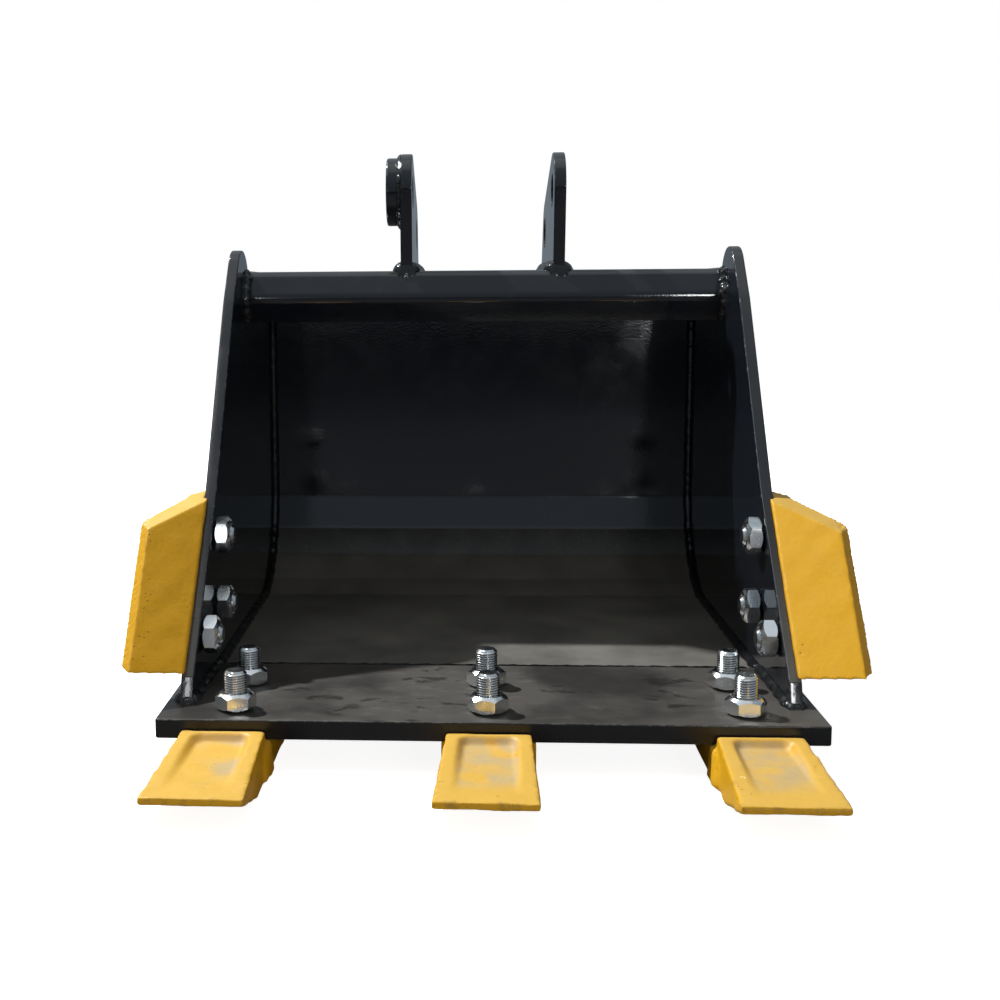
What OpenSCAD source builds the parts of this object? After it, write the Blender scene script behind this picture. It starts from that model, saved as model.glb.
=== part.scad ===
// Digging bucket for a one-tonne mini excavator: a welded shell with two pin ears,
// three bolt-on teeth and two bolt-on side cutters.
// The outlines below are drawn in the work frame: X across, Y back from the front
// of the cutting edge, Z up from the top of the cutting edge. Every node is then
// moved so that the origin is the middle of the arm pin.

/* [Cutting edge] */
// Width of the cutting-edge plate
edge_w = 398; // [390:1:410]
// Depth of the plate from front to back
edge_d = 124; // [118:1:140]
// Thickness of the plate
edge_t = 12; // [10:1:14]

/* [Shell] */
// Outer width over the two side plates
body_w = 381; // [376:1:386]
// Thickness of a side plate
side_t = 8; // [6:1:9]
// Thickness of the bent floor and back sheet
wrapper_t = 6; // [5:1:7]
// Where the flat floor ends and the bends begin
floor_end = 345; // [325:5:360]
// Length of each straight strip between two bends
bend_pitch = 27.5; // [24:0.5:29]
// Number of press-brake bends between floor and back
bends = 5; // [4:1:7]
// Height of the top of the roof plate
roof_z = 268; // [262:1:274]
// Front edge of the roof plate
roof_front = 281; // [276:1:286]
// Thickness of the roof and lip section
beam_t = 8; // [6:1:9]

/* [Ears] */
// Diameter of the arm and link pins
pin_d = 25; // [25:1:28]
// Clearance on the pin's diameter
pin_clearance = 0.5; // [0.3:0.1:0.8]
// Gap between the two ears
ear_gap = 108; // [100:1:116]
// Thickness of an ear
ear_t = 9; // [8:1:10]
// Radius of the ear around the arm pin
ear_r = 29; // [28:0.5:30]
// Radius of the ear around the link pin
link_r = 27; // [25:0.5:28]
// Outer radius of the boss on the left ear
boss_r = 26; // [24:0.5:26]
// Thickness of the boss
boss_t = 11; // [8:1:12]

/* [Hardware] */
// Thread diameter of every bolt
bolt_d = 14; // [12:1:14]
// Width across the flats of nuts and heads
hex_flats = 22; // [20:1:22]
// Height of a nut
nut_h = 11; // [10:0.5:12.8]
// Height of a bolt head
head_h = 8.8; // [8:0.2:9]
// Diameter of the clearance holes
hole_d = 15.5; // [15:0.5:16]

/* [Teeth] */
// Spacing of the teeth's bolts across the bucket
tooth_pitch = 153.5; // [150:0.5:156]
// How far the outer teeth sit outward from the line of their bolts
tooth_shift = 4.2; // [0:0.2:5]
// Length of a tooth in front of the plate
tooth_reach = 92; // [80:1:100]
// Width of a tooth at its shank
tooth_w = 56; // [54:1:58]
// Thickness of the shank under the plate
shank_t = 20; // [19:1:22]
// Front tooth bolt, back from the plate's front
bolt_front = 22; // [21:1:26]
// Spacing of the two bolts of a tooth
bolt_spacing = 55; // [50:1:58]

/* [Side cutters] */
// Thickness of the flange on the side plate
flange_t = 10; // [8:1:11]
// How far the wing stands out from the side plate
wing_reach = 38; // [32:1:40]
// How much more the right casting stands out than the left one
reach_spread = 4; // [0:1:5]
// Length of the wing along the side plate's edge
wing_len = 131; // [125:1:134]

/* [Hidden] */
$fn = 64;

black = [0.09, 0.09, 0.1];
weld_black = [0.16, 0.16, 0.17];
yellow = [0.93, 0.7, 0.18];
zinc = [0.72, 0.73, 0.74];

LEFT = -1;
RIGHT = 1;
MIDDLE = 0;
far = 400;                         // larger than any cut has to reach

inner_half = body_w / 2 - side_t;  // inner face of a side plate
bore_r = (pin_d + pin_clearance) / 2;
pin_at = [301, 329];               // arm pin in the work frame [Y, Z]
link_at = [392, 300];              // link pin in the work frame [Y, Z]

// --- plane geometry -----------------------------------------------------

function unit(a) = a / norm(a);
function left_normal(a, b) = let (d = unit(b - a)) [-d[1], d[0]];
function reversed(path) = [for (i = [len(path) - 1:-1:0]) path[i]];

// A point of a path moved sideways with a mitred corner, to the path's left.
function offset_point(path, i, dist) =
    let (last = len(path) - 1)
    let (before = left_normal(path[max(i - 1, 0)], path[max(i, 1)]))
    let (after = left_normal(path[min(i, last - 1)], path[min(i + 1, last)]))
    let (both = before + after)
    path[i] + both * 2 * dist / (both * both);
function offset_path(path, dist) =
    [for (i = [0:len(path) - 1]) offset_point(path, i, dist)];

// Angle at which the upper common tangent of two circles touches circle a.
function tangent_angle(a, ra, b, rb) =
    atan2(b[1] - a[1], b[0] - a[0]) + acos((ra - rb) / norm(b - a));
function on_circle(c, r, angle) = c + r * [cos(angle), sin(angle)];
function arc(c, r, from, to, steps = 24) =
    [for (i = [0:steps]) on_circle(c, r, from + (to - from) * i / steps)];

// An outline in Y and Z becomes a slab centred on X = 0.
module across(width)
    rotate([90, 0, 90]) linear_extrude(width, center = true) children();

// The same slab between two X values.
module between(x_low, x_high)
    translate([(x_low + x_high) / 2, 0, 0]) across(x_high - x_low) children();

// Left and right pieces are one shape, drawn for the right side.
module on_side(side) {
    if (side == LEFT) mirror([1, 0, 0]) children();
    else children();
}

module pin_frame() translate([0, -pin_at[0], -pin_at[1]]) children();

// --- shell --------------------------------------------------------------

floor_z = -2;                      // the floor sheet lies just below the plate
bend_step = 90 / bends;
strips = bends - 1;

// Inner line of the floor, bends and back wall, from front to top.
function strip_sum(k, s) =
    k == 0 ? [0, 0] : strip_sum(k - 1, s) + s * [cos(k * bend_step), sin(k * bend_step)];
bend_points = [
    for (k = [0:strips]) [floor_end, floor_z] + strip_sum(k, bend_pitch)
];
wall_y = bend_points[strips][0];
wall_top = roof_z - beam_t;
wrapper_path = concat([[edge_d, floor_z]], bend_points, [[wall_y, wall_top]]);

side_overhang = 5;                 // side plate beyond the sheet's outside
side_lift = 1;                     // side plate above the roof
corner_cut = 12;                   // chamfer of the side plate's rear top corner
foot_y = 33;
foot_top = [38, 15];
cutter_top = [131, 118.5];
edge_high = [217, 246];
nose_at = [262, 258];
nose_r = 26;
nose_start = 139;                  // angle where the front edge meets the nose

module side_plate_outline() {
    back = offset_path(wrapper_path, -(wrapper_t + side_overhang));
    back_y = wall_y + wrapper_t + side_overhang;
    top_z = roof_z + side_lift;
    nose_end = asin((top_z - nose_at[1]) / nose_r);
    polygon(concat(
        [[edge_d, 0], [foot_y, 0], foot_top, cutter_top, edge_high],
        arc(nose_at, nose_r, nose_start, nose_end),
        [[back_y - corner_cut, top_z], [back_y, top_z - corner_cut]],
        reversed([for (i = [0:len(back) - 2]) back[i]])
    ));
}

module side_plate(side)
    color(black) pin_frame() on_side(side) difference() {
        between(inner_half, body_w / 2) side_plate_outline();
        on_front_edge() cutter_holes();
    }

module cutting_edge()
    color(black) pin_frame() difference() {
        translate([-edge_w / 2, 0, -edge_t]) cube([edge_w, edge_d, edge_t]);
        for (side = [LEFT, MIDDLE, RIGHT], y = tooth_bolt_y)
            translate([side * tooth_pitch, y, -edge_t / 2])
                cylinder(d = hole_d, h = 2 * edge_t, center = true);
    }

module wrapper_shell()
    color(black) pin_frame() across(2 * inner_half)
        polygon(concat(wrapper_path, reversed(offset_path(wrapper_path, -wrapper_t))));

// The roof runs forward, folds down over a nose and tucks back under it.
beam_path = [
    [wall_y + wrapper_t, roof_z], [roof_front, roof_z],
    [roof_front - 12, roof_z - 20.5], [roof_front - 2, roof_z - 39]
];

module top_beam()
    color(black) pin_frame() across(2 * inner_half)
        polygon(concat(beam_path, reversed(offset_path(beam_path, beam_t))));

// --- ears ---------------------------------------------------------------

ear_inner = ear_gap / 2;
ear_outer = ear_inner + ear_t;
shell_back = wall_y + wrapper_t;
leg_low = 170;                     // lower end of the ear's leg on the back wall
leg_w = 22;                        // width of that leg

module ear_outline() {
    upper = tangent_angle(pin_at, ear_r, link_at, link_r);
    leg_top = [shell_back + leg_w, roof_z - 18];
    rear = tangent_angle(link_at, link_r, leg_top, 0);
    polygon(concat(
        [[roof_front, roof_z]],
        arc(pin_at, ear_r, 180, upper),
        arc(link_at, link_r, upper, rear),
        [leg_top, [leg_top[0], leg_low + 30], [shell_back + 8, leg_low]],
        [[shell_back, leg_low], [shell_back, roof_z]]
    ));
}

module pin_bore(at)
    translate([0, at[0], at[1]]) rotate([0, 90, 0])
        cylinder(r = bore_r, h = far, center = true);

module ear(side)
    color(black) pin_frame() on_side(side) difference() {
        between(ear_inner, ear_outer) ear_outline();
        pin_bore(pin_at);
        pin_bore(link_at);
    }

module ear_boss_left()
    color(black) pin_frame() on_side(LEFT) difference() {
        translate([ear_outer, pin_at[0], pin_at[1]]) rotate([0, 90, 0])
            cylinder(r = boss_r, h = boss_t);
        pin_bore(pin_at);
    }

// --- hardware -----------------------------------------------------------

hex_r = hex_flats / 2 / cos(30);
head_pocket = 9.6;                 // depth of the pocket under a tooth
pocket_d = 27;
tooth_thread_end = 24.5;           // thread end above the plate
tooth_bolt_y = [bolt_front, bolt_front + bolt_spacing];

// Nut with its seat at Z = 0.
module nut()
    difference() {
        cylinder(r = hex_r, h = nut_h, $fn = 6);
        translate([0, 0, -1]) cylinder(d = bolt_d, h = nut_h + 2);
    }

// Bolt whose head's seat is at Z = 0, with the thread end at Z = length.
module bolt(length) {
    translate([0, 0, -head_h]) cylinder(r = hex_r, h = head_h, $fn = 6);
    cylinder(d = bolt_d, h = length - 1.5);
    translate([0, 0, length - 1.5]) cylinder(d1 = bolt_d, d2 = bolt_d - 3, h = 1.5);
}

// --- teeth --------------------------------------------------------------

shank_rear = 98;
under = -edge_t - shank_t;         // underside of the shank
heel_y = -40;                      // where the underside turns up to the tip
tip_top = -13.5;
tip_h = 4;
shoulder_z = -6;                   // top of the nose where it meets the plate
nose_w = 53;                       // width of the nose's underside at the plate
draft = 3;                         // lean of the nose's sides
flare = 2;                         // widening towards the tip
dish_r = 60;                       // curvature of the dish on top of the nose
dish_low = -11.4;                  // bottom of the dish halfway along
dish_y = -44;
dish_len = 72;
dish_tilt = 1.9;                   // deepest at the rear, it runs out towards the tip
nose_gap = 0.6;                    // between the nose and the plate's front
tooth_turn = [1.15, 1.9, 0.3];     // the castings do not sit quite straight

module tooth_profile()
    polygon([
        [shank_rear, -edge_t], [shank_rear, under + 8],
        [shank_rear - 8, under], [heel_y, under],
        [-tooth_reach, tip_top - tip_h], [-tooth_reach, tip_top],
        [-nose_gap, shoulder_z], [-nose_gap, -edge_t]
    ]);

// Everything outside the nose's right-hand side, which leans in towards the top.
module nose_side()
    translate([nose_w / 2, 0, under]) rotate([0, -draft, flare])
        translate([0, -far - 0.01, -far / 4]) cube([far, far, far]);

// Places a tooth, from its own frame, against the plate.
module at_plate(at)
    translate([at * (tooth_pitch + tooth_shift), 0, 0]) rotate([0, 0, -tooth_turn[at + 1]])
        children();

module tooth(at)
    color(yellow) pin_frame() difference() {
        at_plate(at) difference() {
            across(tooth_w + 6) tooth_profile();
            for (side = [LEFT, RIGHT]) on_side(side) {
                nose_side();
                translate([tooth_w / 2, -0.01, -far / 2]) cube([far, far, far]);
            }
            translate([0, dish_y, dish_r + dish_low]) rotate([90 + dish_tilt, 0, 0])
                cylinder(r = dish_r, h = dish_len, center = true, $fn = 128);
        }
        for (y = tooth_bolt_y) translate([at * tooth_pitch, y, 0]) {
            translate([0, 0, under - 1]) cylinder(d = hole_d, h = shank_t + 2);
            translate([0, 0, under - 1]) cylinder(d = pocket_d, h = head_pocket + 1);
        }
    }

module tooth_bolts(at)
    color(zinc) pin_frame() for (y = tooth_bolt_y)
        translate([at * tooth_pitch, y, under + head_pocket])
            bolt(tooth_thread_end - under - head_pocket);

module tooth_nuts(at)
    color(zinc) pin_frame() for (y = tooth_bolt_y)
        translate([at * tooth_pitch, y, 0]) nut();

// --- side cutters -------------------------------------------------------

// Frame on the side plate's front edge: X outward from the side plate's outer
// face, Y back from the edge into the plate, Z up along the edge.
edge_run = cutter_top - foot_top;
edge_lean = atan2(edge_run[0], edge_run[1]);

module on_front_edge()
    translate([body_w / 2, foot_top[0], foot_top[1]]) rotate([-edge_lean, 0, 0]) children();

cutter_bolt_at = [[14, 37], [46.5, 78.5], [14, 113]];
cutter_thread_end = side_t + nut_h + 2;    // thread end inside the bucket
lip = 2.6;                         // overlap on the side plate's front edge
nose_forward = 17;                 // how far the wing's outer edge leads
wing_lean = 0.9;                   // the wing spreads a little towards its top
flange_d = 66;

module cutter_holes()
    for (at = cutter_bolt_at) translate([0, at[0], at[1]]) rotate([0, 90, 0])
        cylinder(d = hole_d, h = far / 5, center = true);

module wing_section(reach)
    polygon([
        [-8, 8], [-8, -2.2], [reach - 6.5, -nose_forward],
        [reach, -nose_forward + 7], [reach, -nose_forward + 10],
        [flange_t + 2, 5], [flange_t, 8]
    ]);

// The side plate's place, and everything beyond the wing's lip over its edge.
module beside_wing() {
    translate([-far, 0, -far / 2]) cube([far, far, far]);
    translate([-far - lip, -far / 2, -far / 2]) cube([far, far, far]);
}

module flange_outline()
    polygon([
        [0, 0], [0, wing_len], [28, wing_len - 2], [flange_d, 92],
        [flange_d, 60], [28, 13]
    ]);

// The wing's upper end is sawn off almost level: it rises to the back and falls
// away outwards.
wing_end_at = [body_w / 2, 122, 113];
module wing_end_cut()
    translate(wing_end_at) rotate([14.3, 10.5, 0])
        translate([-far / 2, -far / 2, 0]) cube([far, far, far]);

// The lower end is level from front to back and rises outwards.
wing_foot_at = [body_w / 2 - lip, 35, 17.5];
module wing_foot_cut()
    translate(wing_foot_at) rotate([0, -7, 0])
        translate([-far / 2, -far / 2, -far]) cube([far, far, far]);

module side_cutter(side)
    color(yellow) pin_frame() on_side(side) difference() {
        union() {
            difference() {
                on_front_edge() difference() {
                    rotate([0, wing_lean, 0]) translate([0, 0, -12])
                        linear_extrude(wing_len + 27)
                            wing_section(wing_reach + side * reach_spread / 2);
                    beside_wing();
                }
                wing_end_cut();
            }
            on_front_edge() between(0, flange_t) flange_outline();
        }
        wing_foot_cut();
        on_front_edge() cutter_holes();
    }

module cutter_bolts(side)
    color(zinc) pin_frame() on_side(side) on_front_edge()
        for (at = cutter_bolt_at) translate([flange_t, at[0], at[1]]) rotate([0, -90, 0])
            bolt(flange_t + cutter_thread_end);

module cutter_nuts(side)
    color(zinc) pin_frame() on_side(side) on_front_edge()
        for (at = cutter_bolt_at) translate([-side_t, at[0], at[1]]) rotate([0, -90, 0])
            nut();

// --- welds --------------------------------------------------------------

leg = 5;                           // leg of an ordinary fillet weld
ear_leg = 7;                       // leg of the heavier fillets at the ears

// Three-sided fillet along a path in Y and Z, in the corner between the surface
// that the path lies on and the plane at x; it grows by inward along X and by
// up to the path's left.
module path_fillet(path, x, inward, up) {
    raised = offset_path(path, up);
    n = len(path);
    points = concat(
        [for (p = path) [x, p[0], p[1]]],
        [for (p = path) [x + inward, p[0], p[1]]],
        [for (p = raised) [x, p[0], p[1]]]
    );
    sides = [
        for (i = [0:n - 2], k = [0:2])
            let (a = k * n, b = (k + 1) % 3 * n)
            [a + i, a + i + 1, b + i + 1, b + i]
    ];
    ends = [[0, n, 2 * n], [n - 1, 3 * n - 1, 2 * n - 1]];
    flip = inward * up > 0;
    faces = concat(sides, ends);
    polyhedron(points, flip ? [for (f = faces) reversed(f)] : faces);
}

// Straight fillet along Y: a right triangle in X and Z.
module fillet_y(x, z, dx, dz, y_low, y_high)
    translate([0, y_high, 0]) rotate([90, 0, 0]) linear_extrude(y_high - y_low)
        polygon([[x, z], [x + dx, z], [x, z + dz]]);

module weld_edge_top()
    color(weld_black) pin_frame() across(2 * (inner_half - leg))
        polygon([
            [edge_d, floor_z], [edge_d, 0], [edge_d - 3, 0],
            [edge_d, 1.2], [edge_d + 3.5, 0.4], [edge_d + 7, floor_z]
        ]);

module weld_edge_under()
    color(weld_black) pin_frame() across(2 * inner_half)
        polygon([
            [edge_d, -edge_t], [edge_d, floor_z - wrapper_t],
            [edge_d + 6, floor_z - wrapper_t]
        ]);

module weld_shell_inside(side) {
    under_beam = concat(
        [for (i = [0:len(wrapper_path) - 2]) wrapper_path[i]],
        [[wall_y, wall_top - leg]]
    );
    color(weld_black) pin_frame() on_side(side)
        path_fillet(under_beam, inner_half, -leg, leg);
}

module weld_shell_outside(side) {
    outside = offset_path(wrapper_path, -wrapper_t);
    rear = concat([[edge_d + 8, outside[0][1]]], [for (i = [1:len(outside) - 1]) outside[i]]);
    color(weld_black) pin_frame() on_side(side)
        path_fillet(rear, inner_half, -leg, -leg + 0.5);
}

module weld_foot(side)
    color(weld_black) pin_frame() on_side(side) {
        fillet_y(inner_half, 0, -8, 8, foot_y + 3, edge_d - 3);
        fillet_y(body_w / 2, 0, 5, 5, foot_y + 3, edge_d);
    }

// Runs down the front of the lip, from just behind its upper edge.
module weld_beam(side) {
    front = concat([[roof_front + 1.5, roof_z]], [for (i = [1:3]) beam_path[i]]);
    color(weld_black) pin_frame() on_side(side)
        path_fillet(reversed(front), inner_half, -leg, 3);
}

module weld_ear(side)
    color(weld_black) pin_frame() on_side(side) {
        fillet_y(ear_inner, roof_z, -ear_leg, ear_leg, roof_front, shell_back);
        fillet_y(ear_outer, roof_z, ear_leg, ear_leg, roof_front, shell_back);
        for (face = [[ear_inner, -ear_leg], [ear_outer, ear_leg]])
            translate([face[0], shell_back, leg_low]) linear_extrude(roof_z - leg_low - 4)
                polygon([[0, 0], [face[1], 0], [0, ear_leg]]);
    }

module weld_boss_left()
    color(weld_black) pin_frame() on_side(LEFT)
        translate([ear_outer, pin_at[0], pin_at[1]]) rotate([0, 90, 0])
            rotate_extrude() polygon([[boss_r, 0], [boss_r + 3, 0], [boss_r, 4]]);

cutting_edge();
wrapper_shell();
side_plate(LEFT);  // side_plate_left
side_plate(RIGHT);  // side_plate_right
top_beam();
ear(LEFT);  // ear_left
ear(RIGHT);  // ear_right
ear_boss_left();
tooth(LEFT);  // tooth_left
tooth(MIDDLE);  // tooth_middle
tooth(RIGHT);  // tooth_right
tooth_bolts(LEFT);  // tooth_bolts_left
tooth_bolts(MIDDLE);  // tooth_bolts_middle
tooth_bolts(RIGHT);  // tooth_bolts_right
tooth_nuts(LEFT);  // tooth_nuts_left
tooth_nuts(MIDDLE);  // tooth_nuts_middle
tooth_nuts(RIGHT);  // tooth_nuts_right
side_cutter(LEFT);  // side_cutter_left
side_cutter(RIGHT);  // side_cutter_right
cutter_bolts(LEFT);  // cutter_bolts_left
cutter_bolts(RIGHT);  // cutter_bolts_right
cutter_nuts(LEFT);  // cutter_nuts_left
cutter_nuts(RIGHT);  // cutter_nuts_right
weld_edge_top();
weld_edge_under();
weld_shell_inside(LEFT);  // weld_shell_inside_left
weld_shell_inside(RIGHT);  // weld_shell_inside_right
weld_shell_outside(LEFT);  // weld_shell_outside_left
weld_shell_outside(RIGHT);  // weld_shell_outside_right
weld_foot(LEFT);  // weld_foot_left
weld_foot(RIGHT);  // weld_foot_right
weld_beam(LEFT);  // weld_beam_left
weld_beam(RIGHT);  // weld_beam_right
weld_ear(LEFT);  // weld_ear_left
weld_ear(RIGHT);  // weld_ear_right
weld_boss_left();
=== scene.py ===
"""Looks for the mini-excavator digging bucket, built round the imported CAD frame.

Shapes are drawn in millimetres in the work frame: X across the bucket, Y back from
the front of the cutting edge, Z up from its top. to_metres() moves them into the
shared frame, whose origin is the middle of the arm pin.
"""

import math

import bmesh
import bpy
import numpy as np
from mathutils import Matrix, Vector, geometry


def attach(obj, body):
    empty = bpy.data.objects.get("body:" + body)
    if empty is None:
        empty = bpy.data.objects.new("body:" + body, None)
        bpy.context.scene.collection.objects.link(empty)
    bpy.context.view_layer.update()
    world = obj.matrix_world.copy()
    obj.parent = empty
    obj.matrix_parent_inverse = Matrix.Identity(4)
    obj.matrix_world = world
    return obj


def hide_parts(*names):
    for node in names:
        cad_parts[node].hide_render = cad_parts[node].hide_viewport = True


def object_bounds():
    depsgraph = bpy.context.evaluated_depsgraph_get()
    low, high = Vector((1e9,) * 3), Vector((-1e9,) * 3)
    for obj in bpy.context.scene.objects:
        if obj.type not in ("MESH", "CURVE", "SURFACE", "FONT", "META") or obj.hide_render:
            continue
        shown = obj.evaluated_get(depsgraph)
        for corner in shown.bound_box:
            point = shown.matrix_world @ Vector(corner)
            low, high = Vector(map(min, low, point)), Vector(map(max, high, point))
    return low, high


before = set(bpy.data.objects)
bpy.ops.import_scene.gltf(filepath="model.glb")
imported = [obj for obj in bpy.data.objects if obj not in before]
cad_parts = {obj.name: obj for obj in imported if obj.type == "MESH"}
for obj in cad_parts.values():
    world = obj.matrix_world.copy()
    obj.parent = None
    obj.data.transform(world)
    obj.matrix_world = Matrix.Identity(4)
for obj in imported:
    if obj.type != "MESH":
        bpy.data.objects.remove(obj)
cad_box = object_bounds()

LEFT, MIDDLE, RIGHT = -1, 0, 1
SIDE_NAME = {LEFT: "left", MIDDLE: "middle", RIGHT: "right"}
PIN = np.array([0.0, 301.0, 329.0])
LINK = np.array([0.0, 392.0, 300.0])


def to_metres(points):
    return (np.asarray(points, float) - PIN) * 0.001


# --- plane geometry ----------------------------------------------------------

def arc(centre, radius, start, end, steps=24):
    return [(centre[0] + radius * math.cos(math.radians(start + (end - start) * i / steps)),
             centre[1] + radius * math.sin(math.radians(start + (end - start) * i / steps)))
            for i in range(steps + 1)]


def left_normals(a, b):
    d = b - a
    d = d / np.linalg.norm(d, axis=-1, keepdims=True)
    return np.stack([-d[..., 1], d[..., 0]], -1)


def offset_open(path, dist):
    """Open path moved to its left, with mitred corners."""
    path = np.asarray(path, float)
    seg = left_normals(path[:-1], path[1:])
    both = np.vstack([seg[:1], seg]) + np.vstack([seg, seg[-1:]])
    return path + both * (2 * dist / (both * both).sum(1, keepdims=True))


def inset(loop, dist):
    """Closed loop moved to its left, with mitred corners."""
    loop = np.asarray(loop, float)
    seg = left_normals(loop, np.roll(loop, -1, 0))
    both = seg + np.roll(seg, 1, 0)
    return loop + both * (2 * dist / (both * both).sum(1, keepdims=True))


def rounded(points, radius, closed=True, steps=4, least=12):
    """Each corner sharper than least degrees becomes an arc."""
    pts = [np.asarray(p, float) for p in points]
    n = len(pts)
    out = []
    for i, p in enumerate(pts):
        if not closed and i in (0, n - 1):
            out.append(p)
            continue
        a, b = pts[i - 1] - p, pts[(i + 1) % n] - p
        la, lb = np.linalg.norm(a), np.linalg.norm(b)
        a, b = a / la, b / lb
        opening = math.acos(max(-1.0, min(1.0, float(a @ b))))
        if math.degrees(math.pi - opening) < least:
            out.append(p)
            continue
        reach = min(radius / math.tan(opening / 2), 0.45 * la, 0.45 * lb)
        r = reach * math.tan(opening / 2)
        middle = (a + b) / np.linalg.norm(a + b)
        centre = p + middle * (r / math.sin(opening / 2))
        start, end = p + a * reach - centre, p + b * reach - centre
        turn = math.pi - opening
        for k in range(steps + 1):
            t = k / steps
            w = (start * math.sin((1 - t) * turn) + end * math.sin(t * turn)) / math.sin(turn)
            out.append(centre + w)
    return np.array(out)


def bent(path, radius, steps=5):
    """An open path with every bend rounded."""
    return rounded(path, radius, closed=False, steps=steps)


def turned(loop, left=True):
    """The loop running so that its inside is on its left, or on its right."""
    loop = np.asarray(loop, float)
    nxt = np.roll(loop, -1, 0)
    area = (loop[:, 0] * nxt[:, 1] - nxt[:, 0] * loop[:, 1]).sum()
    return loop if (area > 0) == left else loop[::-1]


def circle(centre, radius, n=48):
    return [(centre[0] + radius * math.cos(2 * math.pi * i / n),
             centre[1] + radius * math.sin(2 * math.pi * i / n)) for i in range(n)]


def wobble(s, wavelength, seed, waves=5):
    """Smooth seeded noise along s, about -1 to 1."""
    rng = np.random.RandomState(seed)
    total = np.zeros_like(np.asarray(s, float))
    for _ in range(waves):
        total += np.sin(2 * np.pi * s / (wavelength * rng.uniform(0.6, 1.9))
                        + rng.uniform(0, 2 * np.pi)) * rng.uniform(0.5, 1)
    return total / (0.75 * waves ** 0.5 * 1.6)


# --- meshes --------------------------------------------------------------------

def piece(name, verts, faces, material, nodes, wear=None, sharp=40, weighted=True):
    """A piece that stands for CAD nodes and rides on the bucket's one body."""
    mesh = bpy.data.meshes.new(name)
    inside = np.clip(to_metres(verts), cad_box[0], cad_box[1])
    mesh.from_pydata(inside.tolist(), [], [list(map(int, f)) for f in faces])
    bm = bmesh.new()
    bm.from_mesh(mesh)
    bmesh.ops.recalc_face_normals(bm, faces=bm.faces)
    bm.to_mesh(mesh)
    bm.free()
    mesh.shade_smooth()
    mesh.set_sharp_from_angle(angle=math.radians(sharp))
    # wear: 0 to 1, for rubbed edges and, on bolts and nuts, for darkening in the thread roots and
    # the nut bores
    layer = mesh.attributes.new("wear", "FLOAT", "POINT")
    if wear is not None:
        layer.data.foreach_set("value", np.asarray(wear, np.float32))
    obj = bpy.data.objects.new(name, mesh)
    bpy.context.scene.collection.objects.link(obj)
    mesh.materials.append(material)
    if weighted:
        obj.modifiers.new("even_shading", "WEIGHTED_NORMAL").keep_sharp = True
    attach(obj, "root")
    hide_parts(*nodes)
    return obj


class Shape:
    """Vertices, faces and a wear value per vertex, collected part by part."""

    def __init__(self):
        self.verts, self.faces, self.wear = [], [], []

    def add(self, verts, faces, wear=None):
        base = len(self.verts)
        verts = np.asarray(verts, float)
        self.verts.extend(verts.tolist())
        self.faces.extend([[base + i for i in f] for f in faces])
        self.wear.extend([0.0] * len(verts) if wear is None else list(wear))

    def rings(self, rings, wear=None):
        """Closed skin over rings of equal length, with a cap at each end."""
        n, m = len(rings), len(rings[0])
        faces = [[i * m + j, i * m + (j + 1) % m, (i + 1) * m + (j + 1) % m, (i + 1) * m + j]
                 for i in range(n - 1) for j in range(m)]
        faces += [list(range(m)), list(range((n - 1) * m, n * m))]
        self.add(np.concatenate(rings), faces, wear)


def slab(outer, holes, low, high, place, edge=1.0, steps=3):
    """Plate from an outline with holes, with rounded edges. place maps (u, v, w) to XYZ."""
    shape = Shape()
    loops = [turned(outer)] + [turned(h, False) for h in holes]
    quarter = [math.pi / 2 * k / steps for k in range(steps + 1)]
    lower = [(low + edge * (1 - math.cos(a)), edge * (1 - math.sin(a))) for a in quarter]
    levels = lower + [(high + low - w, d) for w, d in reversed(lower)]
    verts, wear, start = [], [], []
    for k, (w, dist) in enumerate(levels):
        rubbed = 1.0 if k % (steps + 1) not in (0, steps) else 0.0
        start.append([])
        for loop in loops:
            start[-1].append(len(verts))
            moved = inset(loop, dist)
            verts += [(u, v, w) for u, v in moved]
            wear += [rubbed] * len(moved)
    faces = []
    for k in range(len(levels) - 1):
        for i, loop in enumerate(loops):
            a, b, n = start[k][i], start[k + 1][i], len(loop)
            faces += [[a + j, a + (j + 1) % n, b + (j + 1) % n, b + j] for j in range(n)]
    for k in (0, len(levels) - 1):
        first = start[k][0]
        flat, cursor = [], first
        for loop in loops:
            flat.append([Vector((verts[cursor + j][0], verts[cursor + j][1], 0))
                         for j in range(len(loop))])
            cursor += len(loop)
        faces += [[first + i for i in tri] for tri in geometry.tessellate_polygon(flat)]
    shape.add([place(*v) for v in verts], faces, wear)
    return shape


def across(u, v, w):
    """Outlines in Y and Z, thickness along X."""
    return (w, u, v)


def flat(u, v, w):
    """Outlines in X and Y, thickness along Z."""
    return (u, v, w)


# --- procedural materials ------------------------------------------------------

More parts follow.
